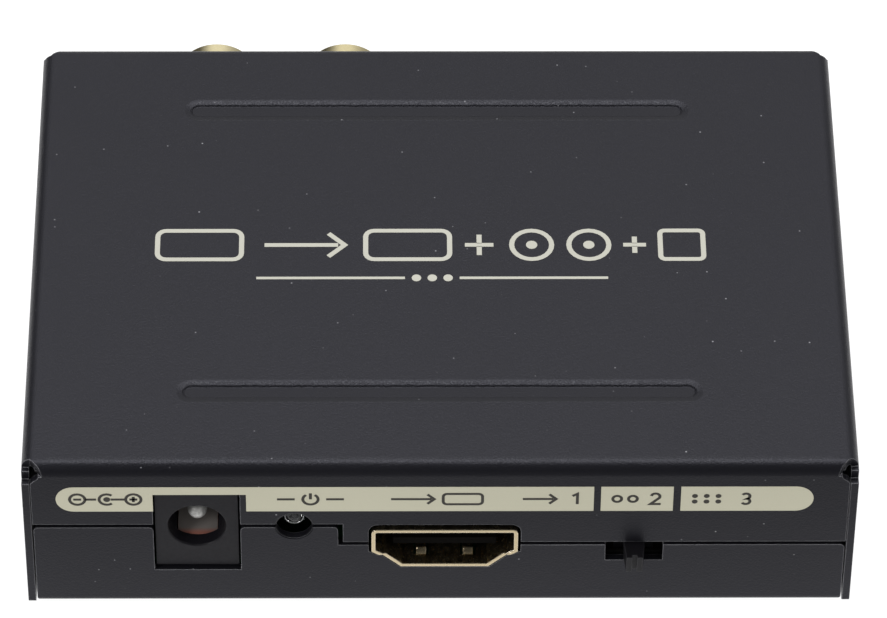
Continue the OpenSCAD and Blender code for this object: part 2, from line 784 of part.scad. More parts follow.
module power_jack_pin() color("#d9d5cc") front_place(jack_x) {
    tip = jack_recess + jack_pin_recess + jack_pin_d / 2;
    translate([0, tip, jack_axis_h]) sphere(d = jack_pin_d);
    translate([0, jack_bore_back, jack_axis_h]) rotate([90, 0, 0])
        cylinder(h = jack_bore_back - tip, d = jack_pin_d);
    translate([0, jack_back + jack_tag_t, jack_axis_h]) rotate([90, 0, 0])
        cylinder(h = jack_back + jack_tag_t - jack_bore_back, d = jack_rivet_d);
    jack_rear_tag(0);
}

module power_jack_spring() color("#b8793f") front_place(jack_x) {
    middle = jack_spring_front + jack_spring_crest;
    along_x(jack_spring_w) polygon([[jack_spring_front, jack_spring_low],
        [middle, jack_spring_low + jack_spring_rise], [jack_bore_back, jack_spring_low],
        [jack_spring_back, jack_spring_low], [jack_spring_back, jack_spring_low + jack_spring_t],
        [jack_bore_back, jack_spring_low + jack_spring_t],
        [middle, jack_spring_low + jack_spring_rise + jack_spring_t],
        [jack_spring_front, jack_spring_low + jack_spring_t]]);
    jack_spring_tag(0);
}

module power_jack_side_tag() color("#c9c6bd") front_place(jack_x) jack_side_tag(0);

// Slide switch: folded frame, base plate, sliding knob with its wiper, and terminals

switch_wall = 0.3;
switch_frame_d = 3.6;
switch_frame_gap = 0.5;
switch_base_t = 0.8;
switch_low = 0.2;
switch_frame_h = 2 * (switch_axis_h - switch_low);
carrier_w = 4;
carrier_gap = 0.25;
carrier_d = 1.5;
wiper_w = 3.2;
wiper_h = 1.6;
wiper_t = 0.2;
wiper_gap = 0.3;
terminal_w = 0.6;
terminal_t = 0.3;
knob_taper = 0.22;
knob_groove_w = 0.5;
knob_groove_depth = 0.35;
switch_front = sheet_t + switch_frame_gap;
switch_back = switch_front + switch_frame_d;
terminal_shares = [-1.5, -0.5, 0.5, 1.5];
terminal_pitch = 2;

module switch_legs(grow) {
    wall_x = (switch_w - switch_wall) / 2;
    for (side = [-1, 1]) translate([side * wall_x, switch_front + switch_frame_d / 2, 0])
        block([-switch_wall / 2 - grow, -terminal_w - grow, leg_low - grow],
            [switch_wall / 2 + grow, terminal_w + grow, switch_axis_h]);
}

module switch_pins(grow) {
    for (share = terminal_shares) translate([share * terminal_pitch, 0, 0])
        block([-terminal_w / 2 - grow, switch_back + switch_base_t - grow, leg_low - grow],
            [terminal_w / 2 + grow, switch_back + switch_base_t + terminal_t + grow, switch_axis_h]);
}

module switch_frame() color("#c4c3be") front_place(switch_x) {
    difference() {
        union() {
            block([-switch_w / 2, switch_front, switch_low],
                [switch_w / 2, switch_back, switch_low + switch_frame_h]);
            switch_legs(0);
        }
        block([switch_wall - switch_w / 2, switch_front + switch_wall, switch_low + switch_wall],
            [switch_w / 2 - switch_wall, switch_back + cut_over, switch_low + switch_frame_h - switch_wall]);
        block([-slot_l / 2, switch_front - cut_over, switch_axis_h - knob_h / 2 - slot_gap],
            [slot_l / 2, switch_front + switch_wall + cut_over, switch_axis_h + knob_h / 2 + slot_gap]);
    }
}

module switch_base() color("#7d5a33") front_place(switch_x)
    block([-switch_w / 2, switch_back, switch_low],
        [switch_w / 2, switch_back + switch_base_t, switch_low + switch_frame_h]);

module switch_knob() color("#141415") front_place(switch_x) {
    carrier_h = switch_frame_h - 2 * switch_wall - 2 * carrier_gap;
    carrier_front = switch_front + switch_wall + carrier_gap;
    tip = knob_w / 2 - knob_taper;
    difference() {
        translate([0, 0, switch_axis_h - knob_h / 2]) linear_extrude(knob_h)
            polygon([[-knob_w / 2, carrier_front], [-knob_w / 2, 0], [-tip, -knob_reach], [tip, -knob_reach],
                [knob_w / 2, 0], [knob_w / 2, carrier_front]]);
        block([-knob_groove_w / 2, -knob_reach - cut_over, switch_axis_h - knob_h],
            [knob_groove_w / 2, knob_groove_depth - knob_reach, switch_axis_h + knob_h]);
    }
    block([-carrier_w / 2, carrier_front, switch_axis_h - carrier_h / 2],
        [carrier_w / 2, carrier_front + carrier_d, switch_axis_h + carrier_h / 2]);
}

module switch_wiper() color("#c49a4e") front_place(switch_x) {
    front = switch_front + switch_wall + carrier_gap + carrier_d;
    back = switch_back - wiper_gap;
    along_z(switch_axis_h - wiper_h / 2, wiper_h) polygon([[-wiper_w / 2, front], [wiper_w / 2, front],
        [wiper_w / 4, back], [-wiper_w / 4, back]]);
}

module switch_terminals() color("#c9c6bd") front_place(switch_x) switch_pins(0);

// Indicator lamp: a clear lens with a collar, on two bent leads

led_l = 5.2;
led_collar_t = 1;
led_lead_t = 0.5;
led_lead_pitch = 2.54;
led_lead_run = 1.4;
led_back = led_recess + led_l;

module status_lamp() color("#d8dde0") front_place(led_x) translate([0, 0, led_axis_h]) {
    translate([0, led_recess + led_d / 2, 0]) sphere(d = led_d);
    translate([0, led_back, 0]) rotate([90, 0, 0]) {
        cylinder(h = led_l - led_d / 2, d = led_d);
        cylinder(h = led_collar_t, d = led_d + 2 * led_collar);
    }
}

module led_pins(grow) {
    for (side = [-1, 1]) translate([side * led_lead_pitch / 2, led_back + led_lead_run, 0])
        block([-led_lead_t / 2 - grow, -grow, leg_low - grow],
            [led_lead_t / 2 + grow, led_lead_t + grow, led_axis_h + led_lead_t / 2]);
}

module status_lamp_leads() color("#c2c0ba") front_place(led_x) {
    led_pins(0);
    for (side = [-1, 1]) translate([side * led_lead_pitch / 2, 0, led_axis_h])
        block([-led_lead_t / 2, led_back, -led_lead_t / 2],
            [led_lead_t / 2, led_back + led_lead_run + led_lead_t, led_lead_t / 2]);
}

// Phono sockets: one moulded housing, two plated shells, two coloured inserts, centre contacts

phono_block_d = 9.6;
phono_block_top = 5.1;
phono_seat_d = 5;
phono_insert_recess = 0.5;
phono_lip_chamfer = 0.4;
phono_collar = 0.25;
phono_cup_wall = 0.35;
phono_tag_w = 2;
phono_tag_t = 0.4;
phono_leg_w = 2;
phono_leg_y = 4;
phono_leg_h = 5;
phono_block_front = sheet_t + snug;
phono_block_back = phono_block_front + phono_block_d;
phono_seat = phono_block_front + phono_seat_d;

module phono_tube(x, from, to, d) {
    translate([x, to, phono_axis_h]) rotate([90, 0, 0]) cylinder(h = to - from, d = d);
}

module phono_housing() color("#17171a") rear_place(phono_x) difference() {
    block([-phono_block_w / 2, phono_block_front, 0],
        [phono_block_w / 2, phono_block_back, phono_axis_h + phono_block_top]);
    for (side = [-1, 1]) {
        phono_tube(side * phono_pitch / 2, phono_block_front - cut_over, phono_seat,
            phono_d + 2 * phono_collar + 2 * snug);
        phono_tube(side * phono_pitch / 2, phono_seat - cut_over, phono_block_back + cut_over,
            phono_bore_d + 2 * phono_cup_wall + 2 * snug);
    }
}

module phono_shell(x) color("#cdb26a") rear_place(phono_x) difference() {
    union() {
        phono_tube(x, phono_lip_chamfer - phono_reach, 0, phono_d);
        phono_tube(x, 0, phono_seat, phono_d + 2 * phono_collar);
        translate([x, phono_lip_chamfer - phono_reach, phono_axis_h]) rotate([90, 0, 0])
            cylinder(h = phono_lip_chamfer, d1 = phono_d, d2 = phono_d - 2 * phono_lip_chamfer);
    }
    phono_tube(x, -phono_reach - cut_over, phono_seat + cut_over, phono_d - 2 * phono_wall);
}

module phono_insert(x, shade) color(shade) rear_place(phono_x) difference() {
    phono_tube(x, phono_insert_recess - phono_reach, phono_seat, phono_d - 2 * phono_wall - 2 * snug);
    phono_tube(x, -phono_reach - cut_over, phono_seat + cut_over, phono_bore_d);
}

module phono_centre_tags(grow) {
    for (side = [-1, 1]) translate([side * phono_pitch / 2, phono_block_back, 0])
        block([-phono_tag_w / 2 - grow, -grow, leg_low - grow],
            [phono_tag_w / 2 + grow, phono_tag_t + grow, phono_axis_h + phono_bore_d / 2]);
}

module phono_centre_contacts() color("#c8a85a") rear_place(phono_x) {
    cup_d = phono_bore_d + 2 * phono_cup_wall;
    for (side = [-1, 1]) difference() {
        phono_tube(side * phono_pitch / 2, phono_seat, phono_block_back, cup_d);
        phono_tube(side * phono_pitch / 2, phono_seat - cut_over, phono_block_back - phono_tag_t,
            phono_bore_d);
    }
    phono_centre_tags(0);
}

module phono_side_legs(grow) {
    for (side = [-1, 1]) translate([side * (phono_block_w / 2 + snug + phono_tag_t / 2), phono_leg_y, 0])
        block([-phono_tag_t / 2 - grow, -phono_leg_w / 2 - grow, leg_low - grow],
            [phono_tag_t / 2 + grow, phono_leg_w / 2 + grow, phono_leg_h]);
}

module phono_shell_left() phono_shell(phono_pitch / 2);
module phono_shell_right() phono_shell(-phono_pitch / 2);
module phono_insert_left() phono_insert(phono_pitch / 2, "#e9e7e0");
module phono_insert_right() phono_insert(-phono_pitch / 2, "#b3231f");
module phono_earth_legs() color("#c9c6bd") rear_place(phono_x) phono_side_legs(0);

// Optical socket: moulded body, inward shutter with its spring, light emitter and pins

optical_cavity_d = 8.8;
optical_bore_d = 2.6;
emitter_d = 2.2;
emitter_t = 1;
emitter_size = 5.2;
shutter_recess = 0.4;
shutter_gap = 0.2;
shutter_side_gap = 0.15;
pivot_drop = 0.85;
pivot_d = 0.9;
pivot_gap = 0.05;
pivot_wall = 0.2;
spring_wire = 0.2;
spring_w = 0.9;
optical_pin_w = 0.5;
optical_pin_pitch = 2.54;
optical_pin_back = 0.6;
mouth_low = optical_axis_h - optical_mouth / 2;
mouth_high = optical_axis_h + optical_mouth / 2;
pivot_y = optical_recess + shutter_recess + shutter_t / 2;
pivot_z = mouth_high - pivot_drop;
optical_back = optical_recess + optical_d;
emitter_front = optical_back - emitter_t - emitter_t;

module x_rod(y, z, w, d) {
    translate([0, y, z]) rotate([0, 90, 0]) cylinder(h = w, d = d, center = true);
}

module optical_body() color("#18181a") rear_place(optical_x) difference() {
    block([-optical_w / 2, optical_recess, 0], [optical_w / 2, optical_back, optical_h]);
    block([-optical_mouth / 2, optical_recess - cut_over, mouth_low],
        [optical_mouth / 2, optical_recess + optical_cavity_d, mouth_high]);
    x_rod(pivot_y, pivot_z, optical_w - 2 * pivot_wall, pivot_d + 2 * pivot_gap);
    translate([0, optical_back, optical_axis_h]) rotate([90, 0, 0])
        cylinder(h = optical_d - optical_cavity_d + cut_over, d = optical_bore_d);
    block([-emitter_size / 2 - snug, emitter_front, optical_axis_h - emitter_size / 2 - snug],
        [emitter_size / 2 + snug, optical_back + cut_over, optical_axis_h + emitter_size / 2 + snug]);
    optical_pins(leg_gap);
}

module optical_shutter() color("#1c1c1f") rear_place(optical_x) {
    plate_w = optical_mouth - 2 * shutter_side_gap;
    notch = spring_w + 2 * shutter_side_gap;
    x_rod(pivot_y, pivot_z, optical_w - 2 * pivot_wall - 2 * shutter_side_gap, pivot_d);
    difference() {
        block([-plate_w / 2, pivot_y - shutter_t / 2, mouth_low + shutter_gap],
            [plate_w / 2, pivot_y + shutter_t / 2, pivot_z]);
        block([plate_w / 2 - notch, pivot_y - shutter_t, pivot_z - pivot_d],
            [plate_w / 2 + cut_over, pivot_y + shutter_t, pivot_z + pivot_d]);
    }
}

module optical_shutter_spring() color("#b9bcc0") rear_place(optical_x) {
    x = optical_mouth / 2 - 2 * shutter_side_gap - spring_w / 2;
    translate([x, 0, 0]) difference() {
        x_rod(pivot_y, pivot_z, spring_w, pivot_d + 2 * pivot_gap + 2 * spring_wire);
        x_rod(pivot_y, pivot_z, spring_w + cut_over, pivot_d + 2 * pivot_gap);
    }
}

module optical_emitter() color("#cfd6da") rear_place(optical_x) {
    block([-emitter_size / 2, emitter_front + emitter_t, optical_axis_h - emitter_size / 2],
        [emitter_size / 2, optical_back, optical_axis_h + emitter_size / 2]);
    translate([0, emitter_front + emitter_t, optical_axis_h]) rotate([90, 0, 0])
        cylinder(h = emitter_t, d = emitter_d);
}

module optical_pins(grow) {
    for (i = [-1:1]) translate([i * optical_pin_pitch, optical_back + optical_pin_back, 0])
        block([-optical_pin_w / 2 - grow, -optical_pin_w / 2 - grow, leg_low - grow],
            [optical_pin_w / 2 + grow, optical_pin_w / 2 + grow, optical_axis_h]);
}

module optical_terminals() color("#c9c6bd") rear_place(optical_x) {
    optical_pins(0);
    for (i = [-1:1]) translate([i * optical_pin_pitch, 0, optical_axis_h])
        block([-optical_pin_w / 2, optical_back, -optical_pin_w],
            [optical_pin_w / 2, optical_back + optical_pin_back, 0]);
}

// What is soldered to the board's top. A place is a share of the board's width and depth
// from its middle.

main_chip_share = [0.06, 0.02];
audio_chip_share = [-0.26, 0.06];
memory_chip_share = [0.3, -0.04];
regulator_share = [-0.4, -0.1];
inductor_share = [-0.29, -0.15];
capacitor_shares = [[-0.43, 0.08], [-0.43, 0.2]];
crystal_share = [0.3, -0.19];
header_share = [0.41, 0.14];
small_part_shares = [-0.05, 0.01, 0.07, 0.13, 0.19];
small_row_shares = [-0.18, 0.19];

main_chip_w = 12;
main_chip_side_leads = 13;
audio_chip_w = 7;
audio_chip_side_leads = 7;
memory_chip_w = 4.9;
memory_chip_d = 3.9;
chip_h = 1.4;
chip_stand = 0.1;
chip_lead_w = 0.4;
chip_lead_t = 0.15;
chip_lead_l = 1;
chip_lead_pitch = 0.8;
memory_lead_pitch = 1.27;
memory_side_leads = 4;
regulator_w = 6.5;
regulator_d = 3.5;
regulator_h = 1.7;
regulator_tab = 1.7;
inductor_w = 6;
inductor_h = 3;
inductor_d = 5.2;
inductor_flange = 0.6;
inductor_corner_r = 1.2;
capacitor_d = 5;
capacitor_h = 7;
capacitor_base = 1;
capacitor_base_w = 5.2;
capacitor_pin_pitch = 2;
wire_d = 0.6;
crystal_l = 10.8;
crystal_w = 4.5;
crystal_h = 3.4;
crystal_rim = 0.5;
crystal_pin_pitch = 4.88;
header_pins_n = 4;
header_pitch = 2.54;
header_h = 2.5;
header_pin_h = 8.4;
header_pin_w = 0.64;
small_l = 1.6;
small_w = 0.8;
small_h = 0.7;
small_cap = 0.3;
small_cap_wrap = 0.03;

module at_board(share) {
    translate([share[0] * board_w, mid_y + share[1] * board_d, board_top]) children();
}

// One row of bent leads along +X of a body that is w wide
module lead_row(w, count, pitch) {
    middle = chip_stand + chip_h / 2;
    knee = chip_lead_l / 3;
    foot = chip_lead_l / 2;
    for (i = [0:count - 1]) translate([w / 2, (i - (count - 1) / 2) * pitch, 0])
        rotate([90, 0, 0]) translate([0, 0, -chip_lead_w / 2]) linear_extrude(chip_lead_w)
            polygon([[0, middle - chip_lead_t], [knee, middle - chip_lead_t], [foot - chip_lead_t, 0],
                [chip_lead_l, 0], [chip_lead_l, chip_lead_t], [foot, chip_lead_t],
                [knee + chip_lead_t, middle], [0, middle]]);
}

module chip_body(w, d) {
    translate([-w / 2, -d / 2, chip_stand]) cube([w, d, chip_h]);
}

module quad_chip(w, count) {
    chip_body(w, w);
    for (turn = [0:3]) rotate([0, 0, 90 * turn]) lead_row(w, count, chip_lead_pitch);
}

module main_chip() color("#222224") at_board(main_chip_share)
    quad_chip(main_chip_w, main_chip_side_leads);

module audio_chip() color("#222224") at_board(audio_chip_share)
    quad_chip(audio_chip_w, audio_chip_side_leads);

module memory_chip() color("#222224") at_board(memory_chip_share) {
    chip_body(memory_chip_d, memory_chip_w);
    for (turn = [0, 180]) rotate([0, 0, turn]) lead_row(memory_chip_d, memory_side_leads, memory_lead_pitch);
}

module regulator() color("#242426") at_board(regulator_share) {
    translate([-regulator_d / 2, -regulator_w / 2, 0]) cube([regulator_d, regulator_w, regulator_h]);
    translate([regulator_d / 2, -regulator_w / 4, 0]) cube([regulator_tab, regulator_w / 2, chip_lead_t]);
    for (i = [-1:1]) translate([-regulator_d / 2 - regulator_tab, i * regulator_w / 3 - chip_lead_w, 0])
        cube([regulator_tab, 2 * chip_lead_w, chip_lead_t]);
}

module power_inductor() color("#4b4a48") at_board(inductor_share) {
    for (z = [0, inductor_h - inductor_flange]) along_z(z, inductor_flange)
        rounded(inductor_w, inductor_w, inductor_corner_r);
    translate([0, 0, inductor_flange]) cylinder(h = inductor_h - 2 * inductor_flange, d = inductor_d);
}

module at_filter_capacitors() {
    for (share = capacitor_shares) at_board(share) children();
}

module capacitor_pins(grow) {
    for (side = [-1, 1]) translate([side * capacitor_pin_pitch / 2, 0, leg_low])
        cylinder(h = -leg_low, d = wire_d + 2 * grow);
}

module filter_capacitors() color("#c7c9cc") at_filter_capacitors() {
    translate([0, 0, capacitor_base]) cylinder(h = capacitor_h - capacitor_base, d = capacitor_d);
    linear_extrude(capacitor_base) rounded(capacitor_base_w, capacitor_base_w, capacitor_base);
    capacitor_pins(0);
}

module at_crystal() {
    at_board(crystal_share) children();
}

module crystal_pins(grow) {
    for (side = [-1, 1]) translate([side * crystal_pin_pitch / 2, 0, leg_low])
        cylinder(h = -leg_low, d = wire_d + 2 * grow);
}

module crystal() color("#cfcdc8") at_crystal() {
    linear_extrude(crystal_rim) rounded(crystal_l, crystal_w, crystal_w / 2 - crystal_rim / 2);
    translate([0, 0, crystal_rim]) linear_extrude(crystal_h - crystal_rim)
        rounded(crystal_l - 2 * crystal_rim, crystal_w - 2 * crystal_rim, crystal_w / 2 - 2 * crystal_rim);
    crystal_pins(0);
}

module at_header() {
    at_board(header_share) children();
}

module header_pins(grow) {
    for (i = [0:header_pins_n - 1]) translate([0, (i - (header_pins_n - 1) / 2) * header_pitch, 0])
        block([-header_pin_w / 2 - grow, -header_pin_w / 2 - grow, leg_low - grow],
            [header_pin_w / 2 + grow, header_pin_w / 2 + grow, header_pin_h]);
}

module service_header() color("#1b1b1d") at_header() {
    translate([-header_pitch / 2, -header_pins_n * header_pitch / 2, 0])
        cube([header_pitch, header_pins_n * header_pitch, header_h]);
    header_pins(0);
}

module small_part() {
    translate([-small_l / 2, -small_w / 2, 0]) cube([small_l, small_w, small_h]);
    for (side = [-1, 1]) translate([side * (small_l - small_cap) / 2, 0, small_h / 2])
        cube([small_cap, small_w + 2 * small_cap_wrap, small_h + 2 * small_cap_wrap], center = true);
}

module small_row(row) {
    for (x = small_part_shares) at_board([x, small_row_shares[row]])
        translate([0, 0, small_cap_wrap]) small_part();
}

module chip_capacitors() color("#b99a6b") small_row(0);
module chip_resistors() color("#2b2b2e") small_row(1);

top_cover();
base_tray();
case_screws();
rubber_feet();
board_standoffs();
board_screws();
circuit_board();
video_in_shell();
video_in_insulator();
video_in_contacts();
video_out_shell();
video_out_insulator();
video_out_contacts();
power_jack_body();
power_jack_pin();
power_jack_spring();
power_jack_side_tag();
switch_frame();
switch_base();
switch_knob();
switch_wiper();
switch_terminals();
status_lamp();
status_lamp_leads();
phono_housing();
phono_shell_left();
phono_shell_right();
phono_insert_left();
phono_insert_right();
phono_centre_contacts();
phono_earth_legs();
optical_body();
optical_shutter();
optical_shutter_spring();
optical_emitter();
optical_terminals();
main_chip();
audio_chip();
memory_chip();
regulator();
power_inductor();
filter_capacitors();
crystal();
service_header();
chip_capacitors();
chip_resistors();
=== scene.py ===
import math

import bmesh
import bpy
import numpy as np
from mathutils import Matrix, Vector


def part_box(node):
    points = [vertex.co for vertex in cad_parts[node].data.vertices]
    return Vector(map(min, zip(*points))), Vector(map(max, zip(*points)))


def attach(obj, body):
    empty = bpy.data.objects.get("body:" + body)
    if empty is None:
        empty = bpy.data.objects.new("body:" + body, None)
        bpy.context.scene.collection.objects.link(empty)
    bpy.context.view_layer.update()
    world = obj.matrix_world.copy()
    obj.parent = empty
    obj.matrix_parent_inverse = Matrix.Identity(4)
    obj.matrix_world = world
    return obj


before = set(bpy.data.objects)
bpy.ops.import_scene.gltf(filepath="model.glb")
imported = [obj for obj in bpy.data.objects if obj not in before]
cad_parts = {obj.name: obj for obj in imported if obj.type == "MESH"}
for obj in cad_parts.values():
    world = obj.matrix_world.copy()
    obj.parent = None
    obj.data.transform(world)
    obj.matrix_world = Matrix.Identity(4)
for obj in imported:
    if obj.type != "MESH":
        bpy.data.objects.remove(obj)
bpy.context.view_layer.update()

# Camera
# Its turn and place were fitted to the edges of the case in the photograph, whose long lens
# shows the front and the top from 46 degrees up.
YAW, RISE, ROLL = (math.radians(a) for a in (0.8996, 45.985, 0.59))
EYE = (-0.00626, -0.44055, 0.46642)
LENS, SENSOR = 241.75, 36
camera_data = bpy.data.cameras.new("camera")
camera_data.sensor_fit = "HORIZONTAL"
camera_data.sensor_width = SENSOR
camera_data.lens = LENS
camera = bpy.data.objects.new("camera", camera_data)
bpy.context.scene.collection.objects.link(camera)
camera.matrix_world = (Matrix.Translation(EYE)
                       @ Matrix.Rotation(-YAW, 4, "Z")
                       @ Matrix.Rotation(math.pi / 2 - RISE, 4, "X")
                       @ Matrix.Rotation(ROLL, 4, "Z"))
bpy.context.scene.camera = camera
bpy.context.scene.view_settings.view_transform = "Standard"


# World
# A white studio: the camera sees plain white, the satin paint mirrors white behind and above
# the case and a dark room on the camera's side, and the even fill comes from all round.
DARK_SIDE = (0.0, -0.69, 0.72)
DARK_LEVEL, LEFT_LEVEL, RIGHT_LEVEL, LOW_LEVEL, FILL_LEVEL = 0.04, 0.12, 0.55, 0.6, 0.82
DARK_SPAN, LEFT_SPAN, RIGHT_SPAN, LOW_SPAN = (0.45, 0.9), (-0.6, -0.15), (0.1, 0.6), (0.1, 0.5)
WHITE = (1, 1, 1, 1)


def linear(code):
    """Linear red, green, blue and alpha of an sRGB hex code."""
    parts = (int(code[i:i + 2], 16) / 255 for i in (0, 2, 4))
    return (*(v / 12.92 if v <= 0.04045 else ((v + 0.055) / 1.055) ** 2.4 for v in parts), 1)


def add(tree, kind, inputs=None, **settings):
    """One node of this kind in the tree, with each input set to a value or linked from a socket."""
    node = tree.nodes.new("ShaderNode" + kind)
    for key, value in settings.items():
        setattr(node, key, value)
    for key, value in (inputs or {}).items():
        if isinstance(value, bpy.types.NodeSocket):
            tree.links.new(value, node.inputs[key])
        else:
            node.inputs[key].default_value = value
    return node


def ramp(tree, value, start, end, low=0.0, high=1.0, kind="LINEAR"):
    """The value carried from the span start to end into low to high, and held beyond it."""
    return add(tree, "MapRange", {"Value": value, "From Min": start, "From Max": end,
                                  "To Min": low, "To Max": high},
               interpolation_type=kind).outputs[0]


def calc(tree, operation, *values):
    """The result of a sum on sockets and numbers."""
    return add(tree, "Math", dict(enumerate(values)), operation=operation).outputs[0]


def mix(tree, factor, first, second, kind="FLOAT"):
    """The blend of two numbers, or of two colours if kind is RGBA."""
    return add(tree, "Mix", {"Factor": factor, "A": first, "B": second},
               data_type=kind).outputs["Result"]


world = bpy.data.worlds.new("studio")
world.use_nodes = True
bpy.context.scene.world = world
tree = world.node_tree
tree.nodes.clear()
view = add(tree, "TexCoord").outputs["Generated"]
toward = add(tree, "VectorMath", {0: view, 1: DARK_SIDE}, operation="DOT_PRODUCT")
room = ramp(tree, toward.outputs["Value"], *DARK_SPAN, 1.0, DARK_LEVEL, "SMOOTHSTEP")
apart = add(tree, "SeparateXYZ", {0: view}).outputs
left = ramp(tree, apart["X"], *LEFT_SPAN, LEFT_LEVEL, 1.0, "SMOOTHSTEP")
right = ramp(tree, apart["X"], *RIGHT_SPAN, 1.0, RIGHT_LEVEL, "SMOOTHSTEP")
low = ramp(tree, apart["Z"], *LOW_SPAN, LOW_LEVEL, 1.0, "SMOOTHSTEP")
for shade in (left, right, low):
    room = calc(tree, "MULTIPLY", room, shade)
rays = add(tree, "LightPath").outputs
mirror = calc(tree, "MAXIMUM", rays["Is Glossy Ray"], rays["Is Transmission Ray"])
level = mix(tree, mirror, FILL_LEVEL, room)
shown = mix(tree, rays["Is Camera Ray"], level, 1.0)
sky = add(tree, "Background", {"Color": WHITE, "Strength": shown})
tree.links.new(sky.outputs[0], add(tree, "OutputWorld").inputs["Surface"])

# Lights
# A long softbox hangs above and a little behind the case: it draws the light line above the
# front bend. A small one on the left gives the glints on the gold and the edges.
AIM = Vector((0, 0, 0.02))
for name, place, size, power in (("overhead", (0.0, 0.19, 0.62), (0.9, 0.26), 3.2),
                                 ("left_strip", (-0.48, -0.42, 0.4), (0.12, 0.3), 1.7)):
    lamp_data = bpy.data.lights.new(name, "AREA")
    lamp_data.shape = "RECTANGLE"
    lamp_data.size, lamp_data.size_y = size
    lamp_data.energy = power
    lamp = bpy.data.objects.new(name, lamp_data)
    bpy.context.scene.collection.objects.link(lamp)
    turn = (AIM - Vector(place)).to_track_quat("-Z", "Y")
    lamp.matrix_world = Matrix.LocRotScale(Vector(place), turn, None)

# Floor
# The white table that the case stands on. It glows, so it reads white but for a faint shade
# under the case, and what the front wall mirrors of it fades with the distance from the case.
FLOOR_HALF = 3.0
FLOOR_GREY = (0.2, 0.2, 0.2, 1)
GLOW_SEEN, GLOW_NEAR, GLOW_FAR = 0.93, 0.97, 0.08
NEAR_Y, FAR_Y = -0.036, -0.064


def mesh_object(name, points, faces):
    """A new object at the origin from points in metres and faces."""
    mesh = bpy.data.meshes.new(name)
    mesh.from_pydata([tuple(p) for p in points], [], [tuple(f) for f in faces])
    mesh.update()
    made = bpy.data.objects.new(name, mesh)
    bpy.context.scene.collection.objects.link(made)
    return made


def material(name):
    """A new node material: itself, and its tree, emptied."""
    made = bpy.data.materials.new(name)
    made.use_nodes = True
    made.node_tree.nodes.clear()
    return made, made.node_tree


floor = mesh_object("floor", [(x * FLOOR_HALF, y * FLOOR_HALF, 0)
                              for x, y in ((-1, -1), (1, -1), (1, 1), (-1, 1))], [(0, 1, 2, 3)])
floor_paint, tree = material("floor_paper")
paper = add(tree, "BsdfDiffuse", {"Color": FLOOR_GREY})
spot = add(tree, "SeparateXYZ", {0: add(tree, "TexCoord").outputs["Object"]}).outputs
fade = ramp(tree, spot["Y"], FAR_Y, NEAR_Y, GLOW_FAR, GLOW_NEAR)
glow = mix(tree, add(tree, "LightPath").outputs["Is Camera Ray"], fade, GLOW_SEEN)
shine = add(tree, "Emission", {"Color": WHITE, "Strength": glow})
both = add(tree, "AddShader", {0: paper.outputs[0], 1: shine.outputs[0]})
tree.links.new(both.outputs[0], add(tree, "OutputMaterial").inputs["Surface"])
floor.data.materials.append(floor_paint)


# Finishes
# Every material is one call: a base colour broken by soft noise, roughness that follows finer
# noise, a bump at the grain of the real surface and edges with a lighter line, partly wear and
# partly a painted highlight.
GRAIN_H = 0.00005
RIM_SPAN, RIM_MOST = (0.93, 0.84), 1.4
GLINT_CELLS, GLINT_SPAN, GLINT_SHARE = 600.0, (0.02, 0.07), 0.5
CRUMB_CELLS, CRUMB_LIFT, CREASE_FADE = 6000.0, 2.0, 0.001
GRITS = ((0.5, 0.62, "6E6F74"), (0.45, 0.36, "0C0C0F"))


def noise(tree, place, cells, detail, rough=0.5):
    """Soft noise with this many cells a metre."""
    return add(tree, "TexNoise", {"Vector": place, "Scale": float(cells), "Detail": detail,
                                  "Roughness": rough}).outputs["Fac"]


def worn_and_highlit_edges(tree, paint, rounded, wide, wear_and_highlight):
    """The paint with a broken lighter line where the rounded normal leaves the face's own.

    The line is partly worn paint and partly a painted highlight.
    """
    flat = add(tree, "NewGeometry").outputs["Normal"]
    turned = add(tree, "VectorMath", {0: rounded, 1: flat}, operation="DOT_PRODUCT")
    rim = ramp(tree, turned.outputs["Value"], *RIM_SPAN, 0.0, RIM_MOST)
    return mix(tree, calc(tree, "MULTIPLY", rim, wide), paint, linear(wear_and_highlight), "RGBA")


def glint_specked(tree, paint, place, speck):
    """The paint with small light specks, painted glints, faint or strong by the cell's own random
    colour.
    """
    glint_cells = add(tree, "TexVoronoi", {"Vector": place, "Scale": GLINT_CELLS}).outputs
    dot = ramp(tree, glint_cells["Distance"], *GLINT_SPAN, 1.0, 0.0)
    few = ramp(tree, add(tree, "SeparateColor", {0: glint_cells["Color"]}).outputs[0], GLINT_SHARE, 1.0)
    return mix(tree, calc(tree, "MULTIPLY", dot, few), paint, linear(speck), "RGBA")


def creased(tree, paint, height, place, creases):
    """The paint and the bump's height with light and dark grit along each crease."""
    apart = add(tree, "SeparateXYZ", {0: place}).outputs
    sideways = calc(tree, "ABSOLUTE", apart["X"])
    crumb = noise(tree, place, CRUMB_CELLS, 5.0, 0.7)
    for line_y, half_w, half_l, force in creases:
        across = calc(tree, "ABSOLUTE", calc(tree, "SUBTRACT", apart["Y"], line_y))
        band = ramp(tree, across, half_w, half_w / 3, 0.0, force)
        inside = ramp(tree, sideways, half_l, half_l - CREASE_FADE)
        mask = calc(tree, "MULTIPLY", band, inside)
        for start, end, code in GRITS:
            amount = calc(tree, "MULTIPLY", mask, ramp(tree, crumb, start, end))
            paint = mix(tree, amount, paint, linear(code), "RGBA")
        lump = calc(tree, "MULTIPLY", mask, crumb)
        height = calc(tree, "MULTIPLY_ADD", lump, CRUMB_LIFT, height)
    return paint, height


